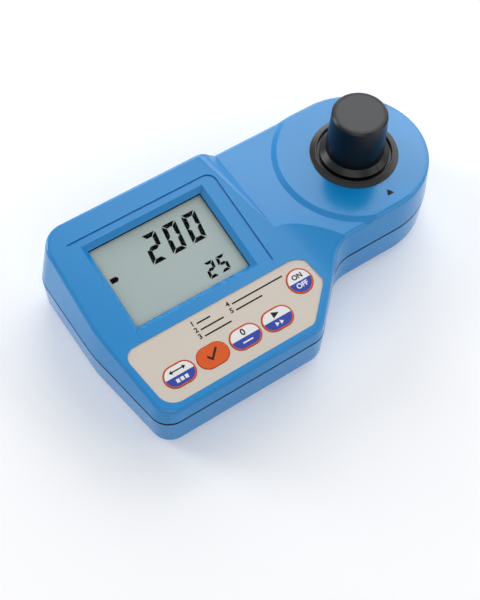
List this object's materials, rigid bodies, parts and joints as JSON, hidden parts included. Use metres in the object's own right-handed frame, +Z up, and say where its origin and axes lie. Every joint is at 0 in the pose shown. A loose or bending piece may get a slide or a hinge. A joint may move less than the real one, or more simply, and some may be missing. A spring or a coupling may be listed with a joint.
{
  "type": "portable colorimeter",
  "caption": "Portable colorimeter: hollow moulded case with tilted display deck, press keys and a round well holding a capped glass vial in a light path.",
  "frame": {"origin": "middle of the bounding box in plan, at the level that the feet stand on", "axes": "+X along the case towards the vial well, +Y away from the user, +Z up"},
  "size_m": [0.193, 0.104, 0.069],
  "materials": {
    "case_plastic": "satin moulded blue plastic",
    "black_plastic": "satin black plastic",
    "cap_plastic": "polished black plastic",
    "window_acrylic": "clear polished acrylic",
    "display_glass": "grey-green display glass",
    "contact_rubber": "striped contact rubber",
    "overlay_film": "matt printed film",
    "film": "plain film",
    "key_film": "printed white and blue film",
    "orange_film": "printed orange film",
    "dome_steel": "bright spring steel",
    "screw_steel": "zinc-plated steel",
    "board_laminate": "green solder mask",
    "chip_resin": "moulded resin",
    "socket_nylon": "natural nylon",
    "vial_glass": "clear glass",
    "stopper_polymer": "natural soft plastic",
    "lens_glass": "clear lens glass",
    "filter_glass": "blue filter glass",
    "lamp_resin": "clear cast resin",
    "detector_can": "nickel-plated can",
    "ribbon_sleeve": "grey ribbon insulation",
    "battery_can": "wrapped battery can",
    "foam": "grey foam",
    "lead_sleeve": "insulated wire",
    "foot_rubber": "black rubber",
    "gasket_rubber": "soft black rubber"
  },
  "bodies": {
    "case": {"upper_shell": "case_plastic", "lower_shell": "case_plastic", "lcd_window": "window_acrylic", "lcd_glass": "display_glass", "lcd_frame": "black_plastic", "zebra_connectors": "contact_rubber", "keypad_overlay": "overlay_film", "spacer_layer": "film", "switch_circuit": "film", "dome_switches": "dome_steel", "main_board": "board_laminate", "controller_chip": "chip_resin", "board_sockets": "socket_nylon", "board_screws": "screw_steel", "collar": "black_plastic", "optical_block": "black_plastic", "optic_screws": "screw_steel", "beam_lens": "lens_glass", "lamp": "lamp_resin", "lamp_board": "board_laminate", "colour_filter": "filter_glass", "detector": "detector_can", "detector_board": "board_laminate", "optic_ribbon": "ribbon_sleeve", "battery": "battery_can", "battery_snap": "black_plastic", "battery_leads": "lead_sleeve", "case_screws": "screw_steel", "feet": "foot_rubber", "case_gasket": "gasket_rubber"},
    "vial": {"vial": "vial_glass"},
    "cap": {"cap": "cap_plastic", "stopper": "stopper_polymer"},
    "battery_cover": {"battery_cover": "case_plastic", "battery_pad": "foam"},
    "power_key": {"power_key": "key_film"},
    "range_key": {"range_key": "key_film"},
    "check_key": {"check_key": "orange_film"},
    "zero_key": {"zero_key": "key_film"},
    "read_key": {"read_key": "key_film"}
  },
  "joints": [
    {"name": "vial_lift", "type": "slide", "parent": "case", "child": "vial", "axis": [0, 0, 1], "range_m": [0, 0.045]},
    {"name": "cap_pull", "type": "slide", "parent": "vial", "child": "cap", "axis": [0, 0, 1], "range_m": [0, 0.03]},
    {"name": "battery_cover_turn", "type": "hinge", "parent": "case", "child": "battery_cover", "pos_m": [-0.048, 0.003, 0.0015], "axis": [0, 0, -1], "range_deg": [0, 50]},
    {"name": "power_key_press", "type": "slide", "parent": "case", "child": "power_key", "axis": [0, 0.165, -0.9863], "range_m": [0, 0.0004], "stiffness_N_per_m": 2000},
    {"name": "range_key_press", "type": "slide", "parent": "case", "child": "range_key", "axis": [0, 0.165, -0.9863], "range_m": [0, 0.0004], "stiffness_N_per_m": 2000},
    {"name": "check_key_press", "type": "slide", "parent": "case", "child": "check_key", "axis": [0, 0.165, -0.9863], "range_m": [0, 0.0004], "stiffness_N_per_m": 2000},
    {"name": "zero_key_press", "type": "slide", "parent": "case", "child": "zero_key", "axis": [0, 0.165, -0.9863], "range_m": [0, 0.0004], "stiffness_N_per_m": 2000},
    {"name": "read_key_press", "type": "slide", "parent": "case", "child": "read_key", "axis": [0, 0.165, -0.9863], "range_m": [0, 0.0004], "stiffness_N_per_m": 2000}
  ]
}
